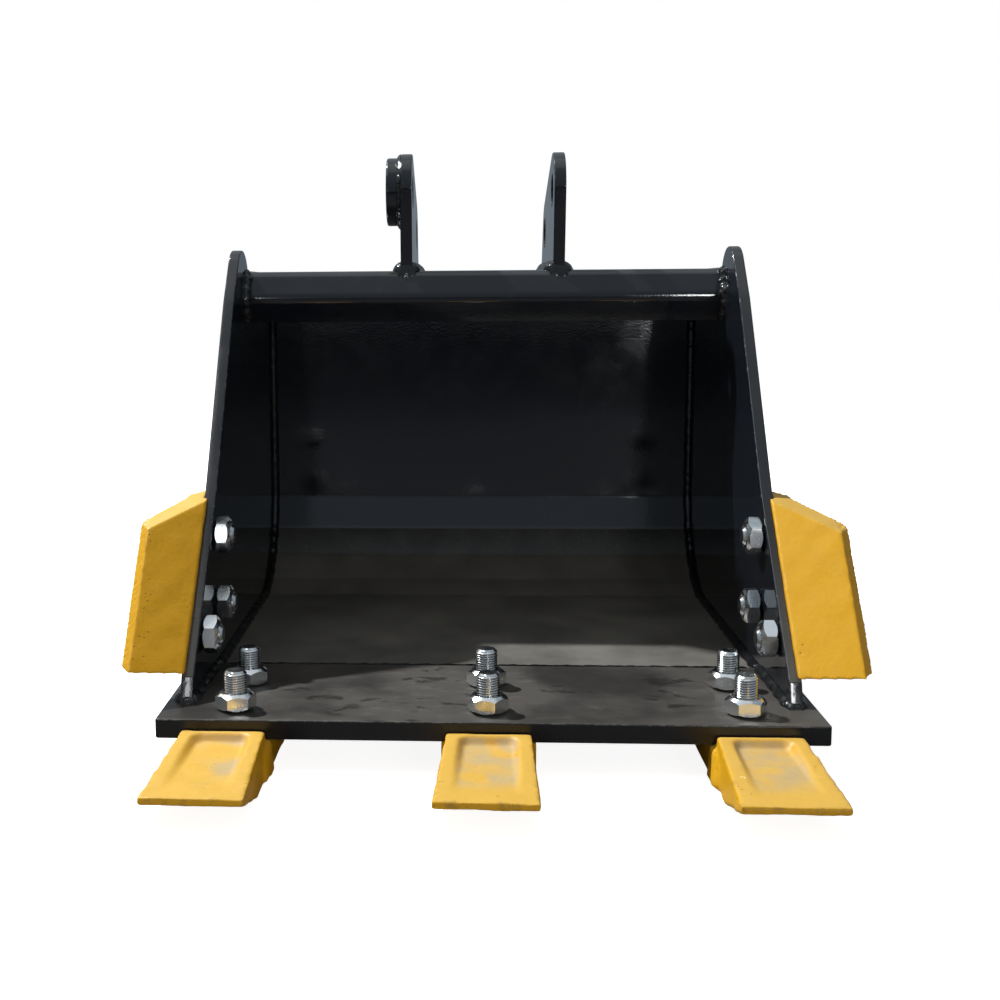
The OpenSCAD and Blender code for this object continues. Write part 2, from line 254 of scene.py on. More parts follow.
class Tree:
    """A small wrapper that makes node graphs short to write."""

    def __init__(self, name):
        self.mat = bpy.data.materials.new(name)
        self.mat.use_nodes = True
        self.tree = self.mat.node_tree
        self.tree.nodes.clear()
        self.out = self.tree.nodes.new("ShaderNodeOutputMaterial")
        self.shader = self.tree.nodes.new("ShaderNodeBsdfPrincipled")
        self.tree.links.new(self.shader.outputs[0], self.out.inputs[0])
        self.coords = self.tree.nodes.new("ShaderNodeTexCoord").outputs["Object"]

    def put(self, socket, value):
        if isinstance(value, bpy.types.NodeSocket):
            self.tree.links.new(value, socket)
        elif isinstance(value, (tuple, list)) and len(value) == 3 and len(socket.default_value) == 4:
            socket.default_value = (*value, 1.0)
        else:
            socket.default_value = value

    def node(self, kind, output=0, props=None, **inputs):
        n = self.tree.nodes.new(kind)
        for key, value in (props or {}).items():
            setattr(n, key, value)
        for key, value in inputs.items():
            self.put(n.inputs[int(key[1:])] if key[0] == "i" and key[1:].isdigit()
                     else n.inputs[key.replace("_", " ")], value)
        return n.outputs[output]

    def noise(self, scale, detail=3.0, rough=0.55, vector=None, distortion=0.0):
        return self.node("ShaderNodeTexNoise", Vector=vector or self.coords, Scale=scale,
                         Detail=detail, Roughness=rough, Distortion=distortion)

    def cells(self, scale):
        return self.node("ShaderNodeTexVoronoi", Vector=self.coords, Scale=scale)

    def stretch(self, scale, turn=(0, 0, 0)):
        return self.node("ShaderNodeMapping", Vector=self.coords, Scale=scale, Rotation=turn)

    def ramp(self, value, low, high, to_low=0.0, to_high=1.0):
        return self.node("ShaderNodeMapRange", props={"interpolation_type": "SMOOTHSTEP"},
                         i0=value, i1=low, i2=high, i3=to_low, i4=to_high)

    def math(self, op, a, b=0.0):
        return self.node("ShaderNodeMath", props={"operation": op}, i0=a, i1=b)

    def mul(self, a, b):
        return self.math("MULTIPLY", a, b)

    def add(self, a, b):
        return self.math("ADD", a, b)

    def mix(self, factor, a, b):
        n = self.tree.nodes.new("ShaderNodeMix")
        n.data_type = "RGBA"
        self.put(n.inputs[0], factor)
        self.put(n.inputs[6], a)
        self.put(n.inputs[7], b)
        return n.outputs[2]

    def facing_up(self, low=0.2, high=0.95):
        normal = self.node("ShaderNodeNewGeometry", output="Normal")
        z = self.node("ShaderNodeSeparateXYZ", output=2, Vector=normal)
        return self.ramp(z, low, high)

    def attribute(self, name):
        return self.node("ShaderNodeAttribute", output="Fac", props={"attribute_name": name})

    def xyz(self):
        n = self.tree.nodes.new("ShaderNodeSeparateXYZ")
        self.tree.links.new(self.coords, n.inputs[0])
        return n.outputs

    def bump(self, height, distance):
        return self.node("ShaderNodeBump", Strength=1.0, Distance=distance, Height=height)

    def finish(self, color, roughness, normal, **fixed):
        self.put(self.shader.inputs["Base Color"], color)
        self.put(self.shader.inputs["Roughness"], roughness)
        self.put(self.shader.inputs["Normal"], normal)
        for key, value in fixed.items():
            self.put(self.shader.inputs[key.replace("_", " ")], value)
        return self.mat


def black_paint():
    """Gloss enamel with orange peel, a film of dust where it faces up, stronger low down as a
    painted sheen, rubbed edges.
    """
    t = Tree("black_enamel")
    clouds = t.noise(9.0, 4.0)
    patches = t.noise(38.0, 4.0, 0.6)
    film = t.ramp(t.add(clouds, t.mul(patches, 0.4)), 0.15, 1.2, 0.35, 1.0)
    # The film grows stronger low down: partly dust, partly a painted sheen for the light the floor
    # catches.
    low = t.ramp(t.xyz()[2], -0.218, -0.318)
    dust = t.mul(t.mul(t.facing_up(0.25, 0.95), film), t.add(t.mul(low, 0.75), 0.2))
    dust = t.add(dust, t.ramp(t.noise(70.0, 5.0), 0.58, 0.8, 0.0, 0.03))
    color = t.mix(clouds, (0.006, 0.0085, 0.0135), (0.010, 0.0122, 0.0165))
    color = t.mix(dust, color, (0.215, 0.205, 0.180))
    rubbed = t.mul(t.attribute("wear"), t.ramp(t.noise(160.0, 4.0, 0.65), 0.5, 0.68))
    color = t.mix(t.mul(rubbed, 0.6), color, (0.10, 0.10, 0.098))
    rough = t.add(t.ramp(patches, 0.3, 0.75, 0.06, 0.12), t.mul(dust, 0.6))
    rough = t.add(rough, t.mul(rubbed, 0.2))
    peel = t.add(t.noise(520.0, 2.0, 0.4), t.mul(t.noise(55.0, 2.0, 0.5), 1.5))
    return t.finish(color, rough, t.bump(peel, 0.00003), IOR=1.5, Specular_IOR_Level=0.7)


def scuffed_black_paint():
    """The cutting edge: the same enamel, dulled and scuffed grey where it faces up."""
    t = Tree("scuffed_black_enamel")
    up = t.facing_up(0.5, 0.95)
    clouds = t.noise(16.0, 4.0, 0.6)
    wide = t.ramp(t.noise(11.0, 3.0, 0.5), 0.38, 0.62, 0.35, 1.0)
    smudge = t.ramp(t.noise(62.0, 3.0, 0.5, t.stretch((0.8, 1.3, 1.0), (0, 0, 0.5)), 0.4),
                    0.56, 0.64)
    smudge = t.mul(smudge, t.ramp(t.noise(15.0, 2.0), 0.48, 0.56))
    scrape = t.ramp(t.noise(95.0, 5.0, 0.7, t.stretch((0.7, 1.4, 1.0), (0, 0, -0.6))), 0.5, 0.72)
    film = t.mul(wide, t.math("SUBTRACT", t.add(t.mul(scrape, 0.22), 0.66), t.mul(smudge, 0.4)))
    film = t.mul(up, film)
    fleck = t.ramp(t.cells(420.0), 0.16, 0.06)
    fleck = t.mul(t.mul(up, fleck), t.ramp(t.noise(60.0, 3.0), 0.54, 0.6))
    color = t.mix(clouds, (0.009, 0.0098, 0.011), (0.015, 0.015, 0.016))
    color = t.mix(film, color, (0.118, 0.110, 0.098))
    color = t.mix(t.mul(fleck, 0.6), color, (0.42, 0.42, 0.40))
    chips = t.mul(t.attribute("wear"), t.ramp(t.noise(260.0, 4.0, 0.7), 0.50, 0.58))
    color = t.mix(t.mul(chips, 0.5), color, (0.16, 0.16, 0.155))
    rough = t.add(t.ramp(clouds, 0.3, 0.7, 0.2, 0.3), t.mul(film, 0.3))
    peel = t.add(t.noise(420.0, 3.0, 0.5), t.mul(t.noise(60.0, 2.0), 2.0))
    return t.finish(color, rough, t.bump(peel, 0.00009), IOR=1.48, Specular_IOR_Level=0.42)


def painted_weld():
    """Thick glossy enamel over the beads."""
    t = Tree("enamel_over_weld")
    blotch = t.noise(80.0, 3.0)
    color = t.mix(blotch, (0.008, 0.0095, 0.012), (0.018, 0.0185, 0.019))
    dust = t.mul(t.facing_up(0.4, 1.0), t.ramp(t.noise(45.0, 4.0), 0.45, 0.75))
    color = t.mix(t.mul(dust, 0.3), color, (0.085, 0.08, 0.07))
    rough = t.add(t.ramp(blotch, 0.3, 0.7, 0.1, 0.17), t.mul(dust, 0.25))
    grain = t.noise(650.0, 3.0, 0.6)
    return t.finish(color, rough, t.bump(grain, 0.0001), IOR=1.5, Specular_IOR_Level=0.6)


def yellow_paint():
    """Satin yellow over castings: sandy skin, pits, scuffs and grime in the hollows."""
    t = Tree("yellow_over_casting")
    clouds = t.noise(14.0, 4.0, 0.6)
    mottle = t.noise(75.0, 4.0, 0.65)
    color = t.mix(clouds, (0.79, 0.41, 0.012), (0.85, 0.47, 0.020))
    color = t.mix(t.ramp(mottle, 0.45, 0.75, 0.0, 0.35), color, (0.70, 0.36, 0.016))
    # Up-facing surfaces paler and less orange: a painted sheen of the sky, with a little dust.
    color = t.mix(t.mul(t.facing_up(0.6, 0.98), 0.4), color, (0.83, 0.62, 0.21))
    # Small pits painted dark brown: painted shade in them.
    pits = t.mul(t.ramp(t.cells(260.0), 0.2, 0.08), t.ramp(t.noise(50.0, 3.0), 0.55, 0.64))
    color = t.mix(t.mul(pits, 0.75), color, (0.16, 0.075, 0.02))
    rubbed = t.mul(t.attribute("wear"), t.ramp(t.noise(120.0, 5.0, 0.7), 0.48, 0.66))
    color = t.mix(t.mul(rubbed, 0.75), color, (0.30, 0.17, 0.06))
    grime = t.mul(t.attribute("grime"), t.ramp(t.noise(42.0, 5.0, 0.6), 0.2, 0.6))
    color = t.mix(t.mul(grime, 0.75), color, (0.53, 0.43, 0.26))
    rough = t.add(t.ramp(mottle, 0.3, 0.7, 0.34, 0.46), t.mul(grime, 0.2))
    sand = t.add(t.noise(330.0, 4.0, 0.6), t.mul(mottle, 0.9))
    sand = t.math("SUBTRACT", sand, t.mul(pits, 0.6))
    return t.finish(color, rough, t.bump(sand, 0.00022), IOR=1.5, Specular_IOR_Level=0.3)


def zinc_plate():
    """Bright zinc with faint drawing marks and blooms, darker in the thread roots and the nut bores.
    """
    t = Tree("bright_zinc")
    bloom = t.noise(130.0, 3.0)
    lines = t.noise(700.0, 2.0, 0.5, t.stretch((1.0, 1.0, 0.12)))
    color = t.mix(bloom, (0.66, 0.69, 0.71), (0.84, 0.84, 0.81))
    # Darker where wear is set on bolts and nuts: the thread roots and the nut bores.
    color = t.mix(t.mul(t.attribute("wear"), 0.85), color, (0.07, 0.075, 0.08))
    spots = t.ramp(t.noise(320.0, 4.0, 0.7), 0.62, 0.72)
    color = t.mix(t.mul(spots, 0.35), color, (0.30, 0.29, 0.27))
    rough = t.add(t.ramp(bloom, 0.3, 0.7, 0.14, 0.26), t.mul(spots, 0.2))
    return t.finish(color, rough, t.bump(lines, 0.00004), Metallic=1.0)


BLACK = black_paint()
EDGE_BLACK = scuffed_black_paint()
WELD = painted_weld()
YELLOW = yellow_paint()
ZINC = zinc_plate()


# --- shell ---------------------------------------------------------------------

EDGE_W, EDGE_D, EDGE_T = 398.0, 124.0, 12.0
BODY_HALF, SIDE_T, SHEET_T = 190.5, 8.0, 6.0
INNER = BODY_HALF - SIDE_T
SIDE_EXTRA, SIDE_LIFT = 5.0, 1.0        # how far a side plate stands past the sheet and roof
FLOOR_Z, FLOOR_END, BEND_PITCH, BENDS = -2.0, 345.0, 27.5, 5
BEND_R = 13.0                           # inside radius of the press-brake bends
ROOF_Z, ROOF_FRONT, ROOF_T, ROOF_BEND_R = 268.0, 281.0, 8.0, 9.0
TOOTH_PITCH, TOOTH_SHIFT = 153.5, 4.2
TOOTH_TURN = {LEFT: 1.15, MIDDLE: 1.9, RIGHT: 0.3}
TOOTH_BOLT_Y = (22.0, 77.0)
TOOTH_UNDER = -32.0                     # underside of the teeth
HOLE_R = 7.75
BORE_R = 12.75

# The sheet's inner line in Y and Z: floor, five equal bends, back wall.
sheet_path = [np.array([EDGE_D, FLOOR_Z]), np.array([FLOOR_END, FLOOR_Z])]
for bend in range(1, BENDS):
    lean = math.radians(90 / BENDS * bend)
    sheet_path.append(sheet_path[-1] + BEND_PITCH * np.array([math.cos(lean), math.sin(lean)]))
WALL_Y = sheet_path[-1][0]
sheet_path.append(np.array([WALL_Y, ROOF_Z - ROOF_T]))
sheet_path = np.array(sheet_path)
BACK_Y = WALL_Y + SHEET_T

# The roof's outer line in Y and Z: back to front, then the lip folded down in two facets.
roof_path = np.array([[BACK_Y, ROOF_Z], [ROOF_FRONT, ROOF_Z],
                      [ROOF_FRONT - 12, ROOF_Z - 20.5], [ROOF_FRONT - 2, ROOF_Z - 39]])

# Corners of the side plate's front edge, from its foot up, and its rounded top.
FOOT_Y, FOOT_TOP, CUTTER_TOP, NECK = 33.0, (38.0, 15.0), (131.0, 118.5), (217.0, 246.0)
TOP_AT, TOP_R, TOP_START = (262.0, 258.0), 26.0, 139.0
# The cutters' own frame lies along the edge from FOOT_TOP to CUTTER_TOP.
LEAN = math.atan2(CUTTER_TOP[0] - FOOT_TOP[0], CUTTER_TOP[1] - FOOT_TOP[1])
CUTTER_BOLTS = [(14.0, 37.0), (46.5, 78.5), (14.0, 113.0)]


def on_edge(v, w):
    """Y and Z of a point v back from the side plate's front edge and w up along it."""
    return (FOOT_TOP[0] + v * math.cos(LEAN) + w * math.sin(LEAN),
            FOOT_TOP[1] - v * math.sin(LEAN) + w * math.cos(LEAN))


def from_edge(y, z):
    """The way back from on_edge: distances back from the edge and up along it."""
    y, z = y - FOOT_TOP[0], z - FOOT_TOP[1]
    return y * math.cos(LEAN) - z * math.sin(LEAN), y * math.sin(LEAN) + z * math.cos(LEAN)


def side_outline():
    back = offset_open(sheet_path, -(SHEET_T + SIDE_EXTRA))
    back_y, top_z, cut = BACK_Y + SIDE_EXTRA, ROOF_Z + SIDE_LIFT, 12
    top_end = math.degrees(math.asin((top_z - TOP_AT[1]) / TOP_R))
    corners = [(EDGE_D, 0), (FOOT_Y, 0), FOOT_TOP, CUTTER_TOP, NECK]
    corners += arc(TOP_AT, TOP_R, TOP_START, top_end, 20)
    corners += [(back_y - cut, top_z), (back_y, top_z - cut)]
    corners += [tuple(p) for p in back[:-1][::-1]]
    return rounded(corners, 2.0, least=14)


for side in (LEFT, RIGHT):
    low, high = sorted((side * INNER, side * BODY_HALF))
    holes = [circle(on_edge(v, w), HOLE_R, 32) for v, w in CUTTER_BOLTS]
    s = slab(side_outline(), holes, low, high, across, edge=1.1)
    name = "side_plate_" + SIDE_NAME[side]
    piece("painted_" + name, s.verts, s.faces, BLACK, [name], s.wear)

inner_line = bent(sheet_path, BEND_R)
outer_line = bent(offset_open(sheet_path, -SHEET_T), BEND_R + SHEET_T)
s = slab(np.vstack([inner_line, outer_line[::-1]]), [], -INNER, INNER, across, edge=0.3)
piece("bent_shell_sheet", s.verts, s.faces, BLACK, ["wrapper_shell"],
      [0.0] * len(s.verts))

outer_line = bent(roof_path, ROOF_BEND_R, 6)
inner_line = bent(offset_open(roof_path, ROOF_T), 3.0, 6)
s = slab(np.vstack([outer_line, inner_line[::-1]]), [], -INNER, INNER, across, edge=0.3)
piece("folded_roof_and_lip", s.verts, s.faces, BLACK, ["top_beam"],
      [0.0] * len(s.verts))

outline = rounded([(-EDGE_W / 2, 0), (EDGE_W / 2, 0), (EDGE_W / 2, EDGE_D), (-EDGE_W / 2, EDGE_D)],
                  2.0)
holes = [circle((x * TOOTH_PITCH, y), HOLE_R, 32) for x in SIDE_NAME for y in TOOTH_BOLT_Y]
s = slab(outline, holes, -EDGE_T, 0, flat, edge=1.0)
piece("cutting_edge_plate", s.verts, s.faces, EDGE_BLACK, ["cutting_edge"],
      s.wear)


# --- ears ----------------------------------------------------------------------

EAR_IN, EAR_T, EAR_R, LINK_R = 54.0, 9.0, 29.0, 27.0
EAR_OUT = EAR_IN + EAR_T
BOSS_R, BOSS_T = 26.0, 11.0
LEG_LOW, LEG_W = 170.0, 22.0            # the ears' legs down the back wall
LEG_TAPER, LEG_TIP_W = 30.0, 8.0


def tangent_angle(a, ra, b, rb):
    away = math.hypot(b[0] - a[0], b[1] - a[1])
    return math.degrees(math.atan2(b[1] - a[1], b[0] - a[0]) + math.acos((ra - rb) / away))


def ear_outline():
    pin, link, top = PIN[1:], LINK[1:], (BACK_Y + LEG_W, ROOF_Z - 18)
    upper = tangent_angle(pin, EAR_R, link, LINK_R)
    rear = tangent_angle(link, LINK_R, top, 0)
    return ([(ROOF_FRONT, ROOF_Z)] + arc(pin, EAR_R, 180, upper) + arc(link, LINK_R, upper, rear)
            + [top, (top[0], LEG_LOW + LEG_TAPER), (BACK_Y + LEG_TIP_W, LEG_LOW), (BACK_Y, LEG_LOW),
               (BACK_Y, ROOF_Z)])


for side in (LEFT, RIGHT):
    low, high = sorted((side * EAR_IN, side * EAR_OUT))
    holes = [circle(PIN[1:], BORE_R, 64), circle(LINK[1:], BORE_R, 64)]
    s = slab(ear_outline(), holes, low, high, across, edge=1.0)
    name = "ear_" + SIDE_NAME[side]
    piece("painted_" + name, s.verts, s.faces, BLACK, [name], s.wear)

s = slab(circle(PIN[1:], BOSS_R, 72), [circle(PIN[1:], BORE_R, 72)],
         -EAR_OUT - BOSS_T, -EAR_OUT, across, edge=1.6)
piece("turned_boss", s.verts, s.faces, BLACK, ["ear_boss_left"], s.wear)


# --- bolts and nuts ------------------------------------------------------------

THREAD_R, PITCH, THREAD_DEPTH = 7.0, 1.5, 0.75
HEX_A, NUT_H, HEAD_H = 11.0, 11.0, 8.8  # half across the flats, and heights
TURN_POINTS = 60
turn_angles = 2 * np.pi * np.arange(TURN_POINTS) / TURN_POINTS


def hex_radius(angle, flat_half=HEX_A, corner=0.5):
    """Radius of a hexagon with slightly rounded corners."""
    local = (angle + math.pi / 6) % (math.pi / 3) - math.pi / 6
    straight = flat_half / np.cos(local)
    centre = (flat_half - corner) / math.cos(math.pi / 6)
    delta = math.pi / 6 - np.abs(local)
    inside = corner ** 2 - (centre * np.sin(delta)) ** 2
    bent = centre * np.cos(delta) + np.sqrt(np.maximum(inside, 0))
    return np.where(inside > 0, np.minimum(straight, bent), straight)


def ring(radius, z, turn=0.0):
    radius = np.broadcast_to(radius, turn_angles.shape)
    z = np.broadcast_to(z, turn_angles.shape)
    return np.stack([radius * np.cos(turn_angles + turn), radius * np.sin(turn_angles + turn), z], 1)


def hex_rings(low, high, turn, high_cut=True):
    """Rings over a hexagon's outside, chamfered below and, if wanted, above."""
    hexa = hex_radius(turn_angles)
    face = HEX_A * 0.85
    cut = (hexa - face) * math.tan(math.radians(38))
    rings = [ring(face, low, turn), ring(hexa, low + cut, turn)]
    if high_cut:
        return rings + [ring(hexa, high - cut, turn), ring(face, high, turn)]
    return rings + [ring(hexa, high, turn)]


def nut_shape(turn):
    shape = Shape()
    bore, bevel = THREAD_R - 0.4, 1.2
    rings = ([ring(bore, bevel, turn), ring(bore + bevel, 0, turn)] + hex_rings(0, NUT_H, turn)
             + [ring(bore + bevel, NUT_H, turn), ring(bore, NUT_H - bevel, turn)])
    rings.append(rings[0])
    m, n = TURN_POINTS, len(rings) - 1
    faces = [[i * m + j, i * m + (j + 1) % m, (i + 1) % n * m + (j + 1) % m, (i + 1) % n * m + j]
             for i in range(n) for j in range(m)]
    # The bore's rings get wear 1, which darkens the zinc there.
    shape.add(np.concatenate(rings[:-1]), faces,
              [1.0] * m + [0.0] * (m * (n - 2)) + [1.0] * m)
    return shape


def bolt_shape(length, thread_from, turn):
    """Head below Z = 0, plain shank, then a real helical thread to a chamfered end."""
    shape = Shape()
    rings = hex_rings(-HEAD_H, 0, turn, high_cut=False)
    wear = [np.zeros(TURN_POINTS)] * len(rings)
    rings += [ring(THREAD_R, 0), ring(THREAD_R, thread_from - 0.5)]
    wear += [np.zeros(TURN_POINTS)] * 2
    for z in np.arange(thread_from, length + 0.01, 0.25):
        phase = (z / PITCH - turn_angles / (2 * np.pi)) % 1.0
        ridge = np.clip(np.abs(phase - 0.5) * 3.0 - 0.15, 0, 1)
        radius = THREAD_R - THREAD_DEPTH * (1 - ridge)
        radius = np.minimum(radius, THREAD_R - 1.7 + 0.9 * (length - z))
        rings.append(ring(radius, z))
        # Wear is high in the thread roots, which darkens the zinc there, and none near the end.
        wear.append(np.clip(0.8 - ridge * 1.8, 0, 1) * (z < length - 2))
    rings.append(ring(THREAD_R - 3.0, length))
    wear.append(np.zeros(TURN_POINTS))
    shape.rings(rings, wear=np.concatenate(wear))
    return shape


def placed(shape, origin, axis_x=0, mirror=1):
    """Moves a shape from its own Z axis: onto Z, or onto inward X for the cutters."""
    v = np.array(shape.verts)
    if axis_x:
        v = np.stack([-v[:, 2], v[:, 1], v[:, 0]], 1)
    v = v + origin
    v[:, 0] *= mirror
    shape.verts = v.tolist()
    return shape


def gathered(shapes):
    total = Shape()
    for s in shapes:
        total.add(s.verts, s.faces, s.wear)
    return total


HEAD_SEAT = -22.4                       # where a bolt's head sits in a tooth's shank
THREAD_TOP = 24.5
nut_turns = {LEFT: (0.79, 0.2), MIDDLE: (0.32, 0.6), RIGHT: (0.53, 0.25)}
for side in SIDE_NAME:
    nuts, bolts = [], []
    for y, turn in zip(TOOTH_BOLT_Y, nut_turns[side]):
        at = np.array([side * TOOTH_PITCH, y, 0])
        nuts.append(placed(nut_shape(turn), at))
        bolts.append(placed(bolt_shape(THREAD_TOP - HEAD_SEAT, 24.0, turn * 1.7),
                            at + [0, 0, HEAD_SEAT]))
    for what, shapes in (("nuts", nuts), ("bolts", bolts)):
        s = gathered(shapes)
        piece(f"zinc_tooth_{what}_{SIDE_NAME[side]}", s.verts, s.faces, ZINC,
              [f"tooth_{what}_{SIDE_NAME[side]}"], s.wear, sharp=28)

FLANGE_T = 10.0
for side in (LEFT, RIGHT):
    nuts, bolts = [], []
    for k, (v, w) in enumerate(CUTTER_BOLTS):
        y, z = on_edge(v, w)
        turn = (0.35, 0.12, 0.55)[k] + (0.2 if side == LEFT else 0.0)
        nuts.append(placed(nut_shape(turn), [BODY_HALF - SIDE_T, y, z], 1, side))
        length = FLANGE_T + SIDE_T + NUT_H + 2
        bolts.append(placed(bolt_shape(length, FLANGE_T + SIDE_T + 1, turn * 2.1),
                            [BODY_HALF + FLANGE_T, y, z], 1, side))
    for what, shapes in (("nuts", nuts), ("bolts", bolts)):
        s = gathered(shapes)
        piece(f"zinc_cutter_{what}_{SIDE_NAME[side]}", s.verts, s.faces, ZINC,
              [f"cutter_{what}_{SIDE_NAME[side]}"], s.wear, sharp=28)


# --- castings ------------------------------------------------------------------

def cast_skin(node, voxel, relax, extra=()):
    """The CAD node's closed surface, joined with extra blocks, as an even cast skin."""
    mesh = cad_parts[node].data.copy()
    temp = bpy.data.objects.new("temp_" + node, mesh)
    bpy.context.scene.collection.objects.link(temp)
    if extra:
        bm = bmesh.new()
        bm.from_mesh(mesh)
        for block in extra:
            corners = [bm.verts.new(p) for p in to_metres(block)]
            for f in ((0, 1, 2, 3), (4, 5, 6, 7), (0, 1, 5, 4), (1, 2, 6, 5), (2, 3, 7, 6),
                      (3, 0, 4, 7)):
                bm.faces.new([corners[i] for i in f])
        bmesh.ops.recalc_face_normals(bm, faces=bm.faces)
        bm.to_mesh(mesh)
        bm.free()
    remesh = temp.modifiers.new("skin", "REMESH")
    remesh.mode = "VOXEL"
    remesh.voxel_size = voxel
    smooth = temp.modifiers.new("relax", "SMOOTH")
    smooth.factor = 0.5
    smooth.iterations = relax
    bpy.context.view_layer.update()
    solid = bpy.data.meshes.new_from_object(
        temp.evaluated_get(bpy.context.evaluated_depsgraph_get()))
    bpy.data.objects.remove(temp)
    n = len(solid.vertices)
    co, no = np.zeros(n * 3), np.zeros(n * 3)
    solid.vertices.foreach_get("co", co)
    solid.vertices.foreach_get("normal", no)
    faces = [list(p.vertices) for p in solid.polygons]
    edges = np.zeros(len(solid.edges) * 2, int)
    solid.edges.foreach_get("vertices", edges)
    bpy.data.meshes.remove(solid)
    return co.reshape(-1, 3) * 1000 + PIN, no.reshape(-1, 3), faces, edges.reshape(-1, 2)


def convexity(co, no, edges):
    """How much each vertex stands out from its neighbours, 0 to 1."""
    total = np.zeros(len(co))
    count = np.zeros(len(co))
    for a, b in ((0, 1), (1, 0)):
        d = co[edges[:, a]] - co[edges[:, b]]
        lift = (d * no[edges[:, a]]).sum(1) / np.maximum(np.linalg.norm(d, axis=1), 1e-9)
        np.add.at(total, edges[:, a], lift)
        np.add.at(count, edges[:, a], 1)
    value = total / np.maximum(count, 1)
    for _ in range(2):
        total = value.copy()
        count = np.ones(len(co))
        for a, b in ((0, 1), (1, 0)):
            np.add.at(total, edges[:, a], value[edges[:, b]])
            np.add.at(count, edges[:, a], 1)
        value = total / count
    return np.clip(value * 6, 0, 1)


def lumps(co, wavelength, seed, waves=14):
    """Seeded smooth noise through space, about -1 to 1."""
    rng = np.random.RandomState(seed)
    total = np.zeros(len(co))
    for _ in range(waves):
        d = rng.normal(size=3)
        d *= 2 * math.pi / (np.linalg.norm(d) * wavelength * rng.uniform(0.7, 1.6))
        total += np.sin(co @ d + rng.uniform(0, 2 * math.pi))
    return total / waves ** 0.5


def smoothstep(x, low, high):
    t = np.clip((x - low) / (high - low), 0, 1)
    return t * t * (3 - 2 * t)


def casting(name, node, co, faces, wear, grime):
    obj = piece(name, co, faces, YELLOW, [node], wear, sharp=180, weighted=False)
    layer = obj.data.attributes.new("grime", "FLOAT", "POINT")
    layer.data.foreach_set("value", np.asarray(grime, np.float32))
    return obj


NOSE_TOP = -6.0                     # height of the nose's flat top at the plate
NOSE_FALL = 7.5 / 91.4              # how fast it falls towards the tip
LUG_REACH = {LEFT: (29.0, 31.0), MIDDLE: (26.2, 28.2), RIGHT: (31.0, 29.0)}  # left, right
GRIME_LEVEL = {LEFT: -0.2, MIDDLE: 1.2, RIGHT: 0.9}


def lug(side, reach):
    """The shoulder low on each side of a tooth, just in front of the plate."""
    x0, x1 = side * 18.0, side * reach
    return [(x0, -1, -10), (x1 - side * 2, -1, -12), (x1, -1, -30), (x0, -1, -30),
            (x0, -20, -13), (x1 - side * 4, -14, -15), (x1 - side * 1, -22, -30), (x0, -22, -30)]


def dish_filler():
    """Fills the nose's top up to its flat plane, before the real hollow is pressed in."""
    def plane(y):
        return NOSE_TOP + NOSE_FALL * y
    return [(-22, -1, plane(-1)), (22, -1, plane(-1)), (22, -88, plane(-88)), (-22, -88, plane(-88)),
            (-22, -1, -22), (22, -1, -22), (22, -60, -17), (-22, -60, -17)]


def hollow(x, y):
    """Depth of the rounded hollow in a nose's top: deep at the rear, gone before the lip."""
    rear, lip, depth, slope, corner = -3.5, -82.0, 4.4, 5.5, 8.0
    half = 18.5 - 0.02 * y
    qx, qy = np.abs(x) - half + corner, y - rear + corner
    away = np.hypot(np.maximum(qx, 0), np.maximum(qy, 0)) + np.minimum(np.maximum(qx, qy), 0)
    fade = np.clip((y - lip) / 66, 0, 1)
    return depth * smoothstep(corner - away, 0.0, slope) * fade


for side in SIDE_NAME:
    turn = math.tan(math.radians(TOOTH_TURN[side]))
    at = side * (TOOTH_PITCH + TOOTH_SHIFT)

    def stand(points):
        """From the tooth's own frame to its place, turned a little."""
        return [(x + at + turn * y, y, z) for x, y, z in points]

    blocks = [stand(lug(LEFT, LUG_REACH[side][0])), stand(lug(RIGHT, LUG_REACH[side][1])),
              stand(dish_filler())]
    co, no, faces, edges = cast_skin("tooth_" + SIDE_NAME[side], 0.00125, 4, blocks)
    co = co.copy()
    x, y = co[:, 0] - at - turn * co[:, 1], co[:, 1]
    seed = 40 + side * 7
    nose = smoothstep(-y, 0, 10)
    top = smoothstep(no[:, 2], 0.5, 0.9) * smoothstep(-y, 0.5, 3)
    pressed = hollow(x, y) * top
    co[:, 2] -= pressed
    co += no * ((0.16 * lumps(co, 17.0, seed) + 0.05 * lumps(co, 5.0, seed + 1))
                * (0.3 + 0.7 * nose))[:, None]
    co[:, 2] = np.maximum(co[:, 2], TOOTH_UNDER)
    wear = convexity(co, no, edges) * (0.35 + 0.65 * smoothstep(-y, 30, 90))
    patch = lumps(co, 30.0, seed + 2) + GRIME_LEVEL[side]
    grime = smoothstep(pressed, 0.2, 1.6) * smoothstep(patch, -0.3, 0.9)
    casting("cast_tooth_" + SIDE_NAME[side], "tooth_" + SIDE_NAME[side], co, faces, wear, grime)

WING_REACH = {LEFT: 36.0, RIGHT: 40.0}
WING_LEAN = 0.0157                  # how much a wing spreads per millimetre of height
for side in (LEFT, RIGHT):
    co, no, faces, edges = cast_skin("side_cutter_" + SIDE_NAME[side], 0.001, 4)
    x, y, z = co[:, 0] * side - BODY_HALF, co[:, 1], co[:, 2]
    back, up = from_edge(y, z)
    outer = smoothstep(x - WING_LEAN * up - WING_REACH[side], -7.0, -4.5)
    co = co.copy()
    rough = (0.16 * wobble(up + 0.25 * back, 2.6, 70 + side)
             + 0.2 * lumps(co, 2.6, 71 + side))
    co += no * (outer * (rough - 0.35) + 0.1 * lumps(co, 18.0, 73 + side))[:, None]
    wear = convexity(co, no, edges) * (0.4 + 0.6 * outer)
    casting("cast_side_cutter_" + SIDE_NAME[side], "side_cutter_" + SIDE_NAME[side], co, faces,
            wear, np.zeros(len(co)))


# --- welds ---------------------------------------------------------------------

